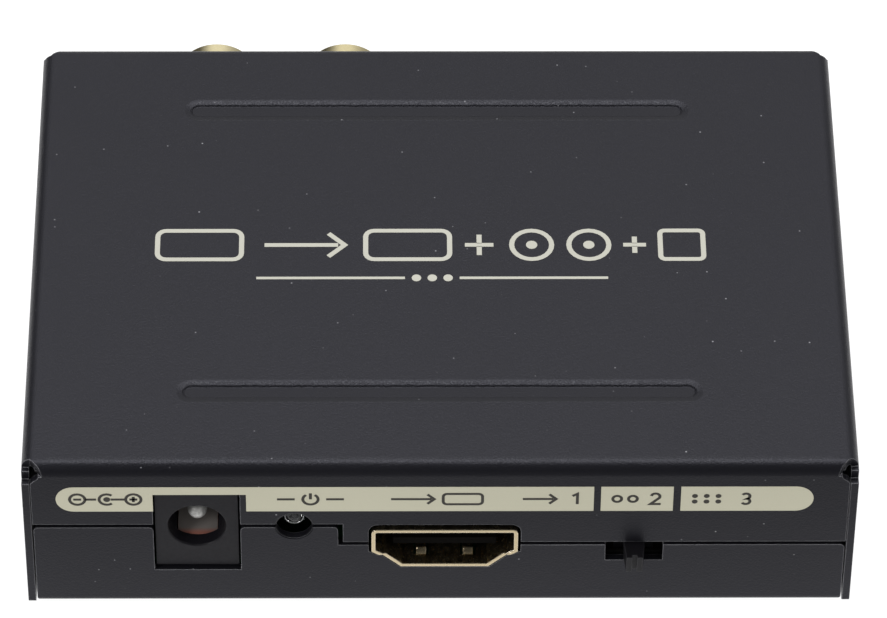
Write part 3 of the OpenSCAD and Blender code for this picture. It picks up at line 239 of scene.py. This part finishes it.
def finish(name, colour, other, roughness=(0.35, 0.5), grain=2500, bump=0.1, edge=0.08,
           wear_and_highlight=None, broad=60, specks=None, creases=(), pressed=None, along=None, **sockets):
    """A node material; grain and broad are noise cells a metre, edge the rounding in mm.

    creases are lines along X where pressing has roughened the coat: the line's Y, half its
    width, half its length and how strongly it shows. pressed adds its own bump, and along is
    the span of Y over which the first colour turns to the other. Any other name is an input
    of the surface shader.
    """
    made, tree = material(name)
    place = add(tree, "TexCoord").outputs["Object"]
    wide = noise(tree, place, broad, 3.0)
    fine = noise(tree, place, grain, 2.0)
    change = wide
    if along:
        change = ramp(tree, add(tree, "SeparateXYZ", {0: place}).outputs["Y"], *along)
    paint, height = mix(tree, change, linear(colour), linear(other), "RGBA"), fine
    rounded = add(tree, "Bevel", {"Radius": edge / 1000}, samples=4).outputs[0]
    # The lighter edge line is partly wear and partly a painted highlight.
    if wear_and_highlight:
        paint = worn_and_highlit_edges(tree, paint, rounded, wide, wear_and_highlight)
    # The light specks are painted glints.
    if specks:
        paint = glint_specked(tree, paint, place, specks)
    if creases:
        paint, height = creased(tree, paint, height, place, creases)
    formed = pressed(tree, place, rounded) if pressed else rounded
    uneven = add(tree, "Bump", {"Strength": bump, "Distance": GRAIN_H, "Height": height,
                                "Normal": formed})
    looks = {key.replace("_", " "): value for key, value in sockets.items()}
    surface = add(tree, "BsdfPrincipled", {"Base Color": paint,
                                           "Roughness": ramp(tree, fine, 0.3, 0.7, *roughness),
                                           "Normal": uneven.outputs[0], **looks})
    tree.links.new(surface.outputs[0], add(tree, "OutputMaterial").inputs["Surface"])
    return made


def wear(made, *nodes):
    """These CAD nodes take the material."""
    for node in nodes:
        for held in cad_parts[node].material_slots:
            held.link = "OBJECT"
            held.material = made


# Case
# Cover and tray are folded sheet steel with a satin black powder coat, its fine pimples dulled
# a little by handling and thin along the cut edges, whose lighter line is partly wear and partly
# a painted highlight. Its light specks are painted glints. The coat is roughened along the walls
# of the two pressed beads and along the front bend.
# The third colour is the edges' lighter line, partly wear and partly a painted highlight.
PAINT, PAINT_DEEP, PAINT_WEAR_AND_HIGHLIGHT = "151519", "121216", "A0A0A4"
# The specks colour gives painted glints on the coat.
COAT = {"specks": "9A9A9E", "Specular_IOR_Level": 0.243, "Specular_Tint": (0.95, 0.95, 1.09, 1)}
BEAD_MID_YS, BEAD_WALL, BEAD_NEAR = (-0.02285, 0.01845), 0.00122, 0.0015
BEAD_HALF, BEAD_FOOT = 0.025425, 0.00085
FOOT_W, FOOT_H, FOOT_WAVER, WAVER_CELLS = 0.00015, 0.00015, 0.0003, 2600.0
BEND_Y = -0.03235
CREASES = ([(y + BEAD_WALL, 0.00032, 0.0265, 0.28) for y in BEAD_MID_YS]
           + [(y - BEAD_NEAR, 0.00014, 0.0262, 0.16) for y in BEAD_MID_YS]
           + [(BEND_Y, 0.0006, 0.0405, 0.16)])
LAMP_X, LAMP_Z, LAMP_HOLE_R = -0.0149, 0.0133, 0.00185
ROLL_W, ROLL_H = 0.00016, 0.00036
FRONT_ONLY_Y = -0.03


def bead_foot(tree, place, normal):
    """The sharp step at the foot of both beads' far walls.

    Inside the foot the coat lies lower by a share that grows from 0 at a bead's near side to
    1 at its far side. The share ends in a smooth step of the distance from the bead's middle
    line, 2 FOOT_W wide, which a noise makes waver.
    """
    apart = add(tree, "SeparateXYZ", {0: place}).outputs
    past = calc(tree, "SUBTRACT", calc(tree, "ABSOLUTE", apart["X"]), BEAD_HALF)
    past = calc(tree, "MAXIMUM", past, 0.0)
    mid = mix(tree, calc(tree, "GREATER_THAN", apart["Y"], 0.0), *BEAD_MID_YS)
    off = calc(tree, "SUBTRACT", apart["Y"], mid)
    flat = add(tree, "CombineXYZ", {0: past, 1: off}).outputs[0]
    reach = add(tree, "VectorMath", {0: flat}, operation="LENGTH").outputs["Value"]
    waver = noise(tree, place, WAVER_CELLS, 5.0, 0.7)
    reach = calc(tree, "MULTIPLY_ADD", waver, FOOT_WAVER, reach)
    step = ramp(tree, reach, BEAD_FOOT, BEAD_FOOT + 2 * FOOT_W, kind="SMOOTHSTEP")
    share = ramp(tree, off, -BEAD_FOOT, BEAD_FOOT, 0.0, -1.0)
    low = calc(tree, "MULTIPLY", share, calc(tree, "SUBTRACT", 1.0, step))
    return add(tree, "Bump", {"Strength": 1.0, "Distance": FOOT_H, "Height": low,
                              "Normal": normal}).outputs[0]


def lamp_rim(tree, place, normal):
    """The punched edge of the lamp's hole, rolled inwards.

    On the front wall the coat falls by ROLL_H, evenly with the distance from the hole's axis,
    from ROLL_W outside the hole's radius to that radius.
    """
    off = add(tree, "VectorMath", {0: place, 1: (LAMP_X, 0, LAMP_Z)}, operation="SUBTRACT")
    flat = add(tree, "VectorMath", {0: off.outputs[0], 1: (1, 0, 1)}, operation="MULTIPLY")
    reach = add(tree, "VectorMath", {0: flat.outputs[0]}, operation="LENGTH").outputs["Value"]
    fall = ramp(tree, reach, LAMP_HOLE_R, LAMP_HOLE_R + ROLL_W, -1.0, 0.0)
    deep = add(tree, "SeparateXYZ", {0: place}).outputs["Y"]
    low = calc(tree, "MULTIPLY", fall, calc(tree, "LESS_THAN", deep, FRONT_ONLY_Y))
    return add(tree, "Bump", {"Strength": 1.0, "Distance": ROLL_H, "Height": low,
                              "Normal": normal}).outputs[0]


def cover_form(tree, place, normal):
    """Both forms that the cover's tools pressed: the beads' feet and the lamp hole's rim."""
    return lamp_rim(tree, place, bead_foot(tree, place, normal))


wear(finish("cover_satin", PAINT, PAINT_DEEP, (0.32, 0.44), 5200, 0.7, 0.16, PAINT_WEAR_AND_HIGHLIGHT,
            creases=CREASES, pressed=cover_form, **COAT), "top_cover")
wear(finish("tray_satin", PAINT, PAINT_DEEP, (0.34, 0.46), 5200, 0.7, 0.16, PAINT_WEAR_AND_HIGHLIGHT,
            pressed=lamp_rim, **COAT), "base_tray")
wear(finish("screw_black", "2A2A2C", "1C1C1E", (0.3, 0.45), 3000, 0.1, 0.06, "6A6A6C",
            Metallic=0.8), "case_screws")

# Printed label
# A silk-screened cream bar with half-round ends runs above the sockets. The jack's cut-out
# interrupts its lower part, and two gaps set off the last two switch positions.
FRONT_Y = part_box("top_cover")[0].y
TOP_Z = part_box("top_cover")[1].z
INK_THICK, INK_LIFT = 0.000015, 0.000002
BAR_LOW, BAR_HIGH = 0.01555, 0.0192
BAR_LEFT, BAR_RIGHT = -0.0391, 0.0380
CUT_LEFT, CUT_RIGHT, CUT_TOP = -0.02924, -0.01975, 0.01805
BAR_GAPS = ((0.01563, 0.01635), (0.02371, 0.02448))
MITRE_LEAST = 0.3
cream = finish("label_ink", "C8C5AF", "C0BDA7", (0.45, 0.6), 6000, 0.35, 0.02)


def arc(x, z, radius, start, end, steps=16):
    """Points on an arc, angles in degrees."""
    turns = [math.radians(start + (end - start) * i / steps) for i in range(steps + 1)]
    return [(x + radius * math.cos(t), z + radius * math.sin(t)) for t in turns]


def stroke(path, width, closed=False):
    """Both sides of a flat line of this width along a path, mitred at its bends."""
    line = np.array(path, float)
    ahead = np.roll(line, -1, 0) - line
    ahead /= np.linalg.norm(ahead, axis=1, keepdims=True)
    behind = np.roll(ahead, 1, 0)
    if not closed:
        ahead[-1], behind[0] = behind[-1], ahead[0]
    bisector = ahead + behind
    bisector /= np.linalg.norm(bisector, axis=1, keepdims=True)
    reach = width / 2 / np.maximum((bisector * ahead).sum(1), MITRE_LEAST)
    side = np.stack([-bisector[:, 1], bisector[:, 0]], 1) * reach[:, None]
    return line + side, line - side, closed


def outward(made, weld=0.0):
    """Turns the faces of a closed piece outwards, after joining points closer than weld."""
    shell = bmesh.new()
    shell.from_mesh(made.data)
    if weld:
        bmesh.ops.remove_doubles(shell, verts=shell.verts, dist=weld)
        bmesh.ops.dissolve_degenerate(shell, edges=shell.edges, dist=weld)
    bmesh.ops.recalc_face_normals(shell, faces=shell.faces)
    shell.to_mesh(made.data)
    shell.free()


def ink(name, shapes, made, lift=INK_LIFT, top=False):
    """One printed piece: closed plates INK_THICK thick from strokes, or from outlines as lists."""
    points, faces = [], []

    def put(ring, level):
        start = len(points)
        points.extend((u, v, TOP_Z + level) if top else (u, FRONT_Y - level, v)
                      for u, v in ring)
        return list(range(start, start + len(ring)))

    for shape in shapes:
        if isinstance(shape, tuple):
            a, b, closed = shape
            la, lb = put(a, lift), put(b, lift)
            ha, hb = put(a, lift + INK_THICK), put(b, lift + INK_THICK)
            n = len(a)
            for i in range(n if closed else n - 1):
                j = (i + 1) % n
                faces += [(ha[i], hb[i], hb[j], ha[j]), (la[j], lb[j], lb[i], la[i]),
                          (la[i], ha[i], ha[j], la[j]), (lb[j], hb[j], hb[i], lb[i])]
            if not closed:
                faces += [(la[0], lb[0], hb[0], ha[0]), (ha[-1], hb[-1], lb[-1], la[-1])]
        else:
            low, high, n = put(shape, lift), put(shape, lift + INK_THICK), len(shape)
            faces += [high, low[::-1]]
            faces += [(low[i], low[(i + 1) % n], high[(i + 1) % n], high[i]) for i in range(n)]
    piece = mesh_object(name, points, faces)
    outward(piece)
    piece.data.materials.append(made)
    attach(piece, "case")


bar_mid, bar_r = (BAR_LOW + BAR_HIGH) / 2, (BAR_HIGH - BAR_LOW) / 2
(gap_1_left, gap_1_right), (gap_2_left, gap_2_right) = BAR_GAPS
ink("label_bar", [
    arc(BAR_LEFT + bar_r, bar_mid, bar_r, 90, 270)
    + [(CUT_LEFT, BAR_LOW), (CUT_LEFT, CUT_TOP), (CUT_RIGHT, CUT_TOP), (CUT_RIGHT, BAR_LOW),
       (gap_1_left, BAR_LOW), (gap_1_left, BAR_HIGH)],
    [(gap_1_right, BAR_LOW), (gap_2_left, BAR_LOW), (gap_2_left, BAR_HIGH),
     (gap_1_right, BAR_HIGH)],
    arc(BAR_RIGHT - bar_r, bar_mid, bar_r, -90, 90)
    + [(gap_2_right, BAR_HIGH), (gap_2_right, BAR_LOW)]], cream)

# Signs on the bar
# Dark plain signs, one by each socket: a plug's polarity, a lamp, an arrow into a frame, and
# the three switch positions as the numbers 1 to 3.
SIGN_W, SIGN_R = 0.0003, 0.00078
MINUS_X, CUP_X, PLUS_X, POWER_X = -0.0369, -0.0339, -0.0312, -0.0132
ONE_X, TWO_X, THREE_X = 0.01395, 0.0219, 0.0311
DOTS_X, DOT_STEP, DOT_OFF = 0.0259, 0.0012, 0.00042
dark_ink = finish("sign_ink", "2B2823", "37332D", (0.5, 0.65), 6000, 0.2, 0.02)


def ring(x, z, radius, width=SIGN_W):
    """A circle drawn as a line."""
    return stroke(arc(x, z, radius, 0, 360, 24)[:-1], width, True)


def bar(x0, z0, x1, z1, width=SIGN_W):
    """A straight line."""
    return stroke([(x0, z0), (x1, z1)], width)


def disc(x, z, radius):
    """A filled dot."""
    return arc(x, z, radius, 0, 360, 16)[:-1]


def arrow(x0, x1, z, head, width=SIGN_W):
    """An arrow to the right: its shaft, and its open head in one line."""
    return [bar(x0, z, x1 - head * 0.4, z, width),
            stroke([(x1 - head, z + head), (x1, z), (x1 - head, z - head)], width)]


def frame_sign(x0, x1, z0, z1, r, width=SIGN_W):
    """A rectangle with round corners, drawn as a line."""
    return stroke(arc(x1 - r, z1 - r, r, 0, 90, 5) + arc(x0 + r, z1 - r, r, 90, 180, 5)
                  + arc(x0 + r, z0 + r, r, 180, 270, 5) + arc(x1 - r, z0 + r, r, 270, 360, 5),
                  width, True)


z = bar_mid
high, low = z + SIGN_R, z - SIGN_R
polarity = [ring(MINUS_X, z, SIGN_R), bar(MINUS_X - 0.0004, z, MINUS_X + 0.0004, z),
            bar(-0.0361, z, -0.03498, z),
            disc(CUP_X, z, 0.00036), stroke(arc(CUP_X, z, SIGN_R, 50, 310, 18), SIGN_W),
            bar(-0.0335, z, -0.03212, z),
            ring(PLUS_X, z, SIGN_R), bar(PLUS_X - 0.0004, z, PLUS_X + 0.0004, z),
            bar(PLUS_X, z - 0.0004, PLUS_X, z + 0.0004)]
power = [bar(-0.0166, z, -0.0148, z), stroke(arc(POWER_X, z, SIGN_R, 125, 415, 20), SIGN_W),
         bar(POWER_X, z, POWER_X, z + 0.0009), bar(-0.0116, z, -0.0098, z)]
video = [*arrow(-0.0050, -0.0006, z, 0.0007), frame_sign(0.0003, 0.0043, low, high, 0.0004)]
sources = [*arrow(0.0084, 0.0118, z, 0.0007), ring(0.0180, z, 0.00045), ring(0.0196, z, 0.00045)]
sources += [disc(DOTS_X + DOT_STEP * i, z + DOT_OFF * j, 0.0003)
            for i in range(3) for j in (-1, 1)]
numbers = [stroke([(ONE_X - 0.0005, z + 0.00045), (ONE_X, high), (ONE_X, low)], SIGN_W),
           stroke(arc(TWO_X, z + 0.00036, 0.00044, 170, -30, 12)
                  + [(0.0214, low), (0.02245, low)], SIGN_W),
           stroke(arc(THREE_X, z + 0.00038, 0.0004, 150, -80, 12)
                  + arc(THREE_X, z - 0.00038, 0.00042, 70, -150, 12), SIGN_W)]
ink("label_signs", polarity + power + video + sources + numbers, dark_ink,
    INK_LIFT + INK_THICK)

# Title on the top
# A row of plain cream signs where the top is printed: frame, arrow, frame, plus, two rings,
# plus and a small frame, and a thin rule with three dots below them.
TITLE_Y, TITLE_R, TITLE_W = -0.00187, 0.0021, 0.00054
RULE_Y, RULE_W = -0.0067, 0.00036
PLUS_INNER = 0.00021
RING_XS, DOT_XS = (0.0098, 0.0158), (-0.0023, -0.00065, 0.0010)


def plus(x, y, half):
    """A plus sign: a level bar, and an upright in two parts that end inside the bar."""
    return [bar(x - half, y, x + half, y, TITLE_W),
            bar(x, y - half, x, y - PLUS_INNER, TITLE_W),
            bar(x, y + PLUS_INNER, x, y + half, TITLE_W)]


y = TITLE_Y
high, low = y + TITLE_R, y - TITLE_R
title = [frame_sign(-0.0294, -0.0206, low, high, 0.0009, TITLE_W),
         *arrow(-0.0182, -0.0098, y, 0.0017, TITLE_W),
         frame_sign(-0.0076, 0.0012, low, high, 0.0009, TITLE_W),
         *plus(0.0043, y, 0.0015),
         *(ring(x, y, TITLE_R, TITLE_W) for x in RING_XS),
         *(disc(x, y, 0.0006) for x in RING_XS),
         *plus(0.0206, y, 0.0012),
         frame_sign(0.0233, 0.0278, low, high, 0.0005, TITLE_W),
         bar(-0.0190, RULE_Y, -0.0035, RULE_Y, RULE_W),
         bar(0.0022, RULE_Y, 0.0177, RULE_Y, RULE_W),
         *(disc(x, RULE_Y, 0.0005) for x in DOT_XS)]
title_ink = finish("title_ink", "ABAA9F", "A4A398", (0.45, 0.6), 6000, 0.35, 0.02)
ink("title_signs", title, title_ink, top=True)

# Sockets
# Gold-flashed video shells, plated phono cups with a white and a red insert, and black moulded
# bodies round the round power socket, the optical socket and the phono pair.
# The light edge colours of the gold shells are partly wear and partly a painted highlight.
SHELL_GOLD = finish("video_shell_gold", "D6C8AC", "C2B088", (0.2, 0.3), 1400, 0.03, 0.2,
                    "F2E6D2", Metallic=1.0)
CUP_GOLD = finish("phono_shell_gold", "E4DAB6", "D2C494", (0.16, 0.26), 2600, 0.06, 0.12,
                  "E8DCAE", Metallic=1.0)
MOULDING = finish("moulding_black", "151416", "1B1A1C", (0.38, 0.52), 3000, 0.12, 0.1, "2E2D30")
LEAF_LIP = (-0.0314, -0.0309)
wear(SHELL_GOLD, "video_in_shell", "video_out_shell")
wear(CUP_GOLD, "phono_shell_left", "phono_shell_right")
wear(finish("contact_gold", "E6C98E", "C9A45C", (0.2, 0.32), 4000, 0.05, 0.04,
            Metallic=1.0), "video_in_contacts", "video_out_contacts",
     "phono_centre_contacts")
# The jack body's light specks are painted glints.
wear(finish("socket_black", "121116", "16151A", (0.38, 0.52), 3000, 0.2, 0.14, "3A393C",
            specks="66666A", Specular_IOR_Level=0.207), "power_jack_body")
wear(MOULDING, "phono_housing", "optical_body", "optical_shutter")
wear(finish("insulator_black", "080706", "0C0A09", (0.6, 0.75), 3000, 0.12, 0.05,
            Specular_IOR_Level=0.04), "video_in_insulator", "video_out_insulator")
wear(finish("insert_white", "E6E3DA", "DAD6CA", (0.35, 0.5), 1500, 0.05, 0.15),
     "phono_insert_left")
wear(finish("insert_red", "A61C20", "8E171B", (0.35, 0.5), 1500, 0.05, 0.15),
     "phono_insert_right")
# The pin's white patches among grey are painted highlights on the nickel.
wear(finish("pin_nickel", "FFFFFC", "807E7A", (0.4, 0.6), 2600, 1.0, 0.1, broad=3000,
            Metallic=0.6), "power_jack_pin")
wear(finish("leaf_bronze", "A06A5C", "8A8480", (0.3, 0.45), 3000, 0.1, 0.12, "D09080",
            along=LEAF_LIP, Metallic=0.45), "power_jack_spring")
wear(finish("wiper_bronze", "C09A6A", "A8845A", (0.3, 0.45), 3000, 0.1, 0.08,
            Metallic=1.0), "switch_wiper")
wear(finish("terminal_tin", "C9C9C6", "AFAFAB", (0.25, 0.4), 3500, 0.15, 0.05,
            Metallic=1.0), "power_jack_side_tag", "switch_terminals", "status_lamp_leads",
     "phono_earth_legs", "optical_terminals")
wear(finish("spring_steel", "A8A8A6", "8E8E8C", (0.2, 0.35), 3500, 0.08, 0.04,
            Metallic=1.0), "optical_shutter_spring")

# Finger lips
# The spring fingers in the floors of both video shells end in curled lips, 1 mm wide and
# gold-flashed like the shells. LIP is their section: depth from the mouth, height.
LIP = [(-0.0003, 0.0003), (-0.0001, 0.00075), (0.00015, 0.00098), (0.0004, 0.0010),
       (0.0004, 0.00088), (0.0002, 0.00084), (0.00003, 0.00066), (-0.00016, 0.00025)]
LIP_HALF, FINGER_X, SHELL_Z = 0.0005, 0.0024, 0.0073
SHARP_TURN = math.radians(30)
for name, x, y, way in (("video_in", 0.0005, -0.0322, 1), ("video_out", 0.0240, 0.0270, -1)):
    points, faces, n = [], [], len(LIP)
    for side in (-1, 1):
        base = len(points)
        middle = x + side * FINGER_X
        points += [(middle + end * LIP_HALF, y + way * d, SHELL_Z + h)
                   for end in (-1, 1) for d, h in LIP]
        faces += [[base + i for i in range(n)], [base + n + i for i in reversed(range(n))]]
        faces += [(base + i, base + (i + 1) % n, base + n + (i + 1) % n, base + n + i)
                  for i in range(n)]
    lips = mesh_object(name + "_finger_lips", points, faces)
    outward(lips)
    lips.data.materials.append(SHELL_GOLD)
    lips.data.shade_smooth()
    lips.data.set_sharp_from_angle(angle=SHARP_TURN)
    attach(lips, "case")

# Switch and lamp
# A black slide knob in a folded steel frame on a brown laminate base, a clear domed lamp, and
# the clear emitter inside the optical socket.
wear(finish("knob_black", "121114", "17161A", (0.35, 0.5), 3000, 0.12, 0.14, "4A4A4D",
            Specular_IOR_Level=0.25), "switch_knob")
wear(finish("switch_steel", "3E3E3D", "30302F", (0.4, 0.55), 3000, 0.1, 0.06,
            Metallic=0.8), "switch_frame")
wear(finish("switch_laminate", "6B4A2A", "53381F", (0.5, 0.65), 1800, 0.2, 0.06),
     "switch_base")
wear(finish("lamp_clear", "F4F6F8", "E8ECF0", (0.03, 0.08), 1200, 0.02, 0.05,
            Transmission_Weight=1.0, IOR=1.53), "status_lamp")
wear(finish("emitter_clear", "D8DCE0", "C4C8CC", (0.06, 0.12), 1200, 0.02, 0.05,
            Transmission_Weight=0.9, IOR=1.53), "optical_emitter")

# Lamp cup
# The reflector cup and its post, cast into the clear lamp, which shows them as bright arcs.
# CUP is their section: radius, depth behind the lamp's tip.
LAMP_TIP_Y, WELD = -0.0328, 1e-7
CUP = np.array([(0.0006, 0.0008), (0.00082, 0.0007), (0.00095, 0.0008), (0.0009, 0.0018),
                (0.0002, 0.0024), (0.0, 0.0024), (0.0, 0.0016), (0.00025, 0.0016)])


def revolved(name, profile, x, y, z, steps=32):
    """A closed surface: each (radius, depth) of the profile swept round the axis along Y.

    Point (i, j) is (x + r_j cos t_i, y + d_j, z + r_j sin t_i), with t_i in equal steps.
    """
    turn = np.linspace(0, 2 * math.pi, steps, endpoint=False)[:, None]
    r, d = profile[:, 0], profile[:, 1]
    grid = np.stack([x + r * np.cos(turn), y + d + 0 * turn, z + r * np.sin(turn)], 2)
    k = len(profile)
    i, j = np.meshgrid(np.arange(steps), np.arange(k), indexing="ij")
    n, m = (i + 1) % steps, (j + 1) % k
    quads = np.stack([i * k + j, n * k + j, n * k + m, i * k + m], 2).reshape(-1, 4)
    made = mesh_object(name, grid.reshape(-1, 3).tolist(), quads.tolist())
    outward(made, WELD)
    made.data.shade_smooth()
    return made


cup = revolved("status_lamp_cup", CUP, LAMP_X, LAMP_TIP_Y, LAMP_Z)
cup.data.materials.append(finish("cup_silver", "E6E6E4", "CFCFCC", (0.1, 0.2), 3000, 0.03, 0.05,
                                 Metallic=1.0))
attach(cup, "case")

# Board
# Green laminate with its parts: black epoxy chips, a ferrite coil, aluminium cans, a crystal,
# ceramic chips, a header, plated standoffs and screws.
wear(finish("board_green", "12391F", "0E2E19", (0.4, 0.55), 2200, 0.1, 0.08, "5A6A46"),
     "circuit_board")
wear(finish("chip_black", "1F1F21", "171719", (0.5, 0.65), 5000, 0.25, 0.05, "343436"),
     "main_chip", "audio_chip", "memory_chip", "regulator")
wear(finish("coil_ferrite", "2C2B2A", "222120", (0.55, 0.7), 4000, 0.3, 0.1, "454340"),
     "power_inductor")
wear(finish("can_aluminium", "C6C7C8", "ABADAF", (0.25, 0.38), 3000, 0.1, 0.1,
            Metallic=1.0), "filter_capacitors")
wear(finish("crystal_can", "D0D0CC", "B5B5B1", (0.18, 0.3), 3000, 0.06, 0.08,
            Metallic=1.0), "crystal")
wear(finish("header_black", "19181A", "121113", (0.4, 0.55), 3000, 0.1, 0.06),
     "service_header")
wear(finish("ceramic_tan", "A98E6C", "93795A", (0.4, 0.55), 3000, 0.1, 0.04),
     "chip_capacitors")
wear(finish("ceramic_black", "242427", "C9C9C6", (0.4, 0.55), 3000, 0.1, 0.04),
     "chip_resistors")
wear(finish("standoff_nickel", "CFC9B8", "B4AD9A", (0.2, 0.32), 3000, 0.08, 0.08,
            Metallic=1.0), "board_standoffs")
wear(finish("screw_zinc", "C4C7CA", "A8ACB0", (0.22, 0.36), 3000, 0.1, 0.06,
            Metallic=1.0), "board_screws")

# Feet
# Four soft black rubber dots with a dull, slightly dusty face.
wear(finish("foot_rubber", "161616", "202020", (0.7, 0.85), 4000, 0.4, 0.15), "rubber_feet")
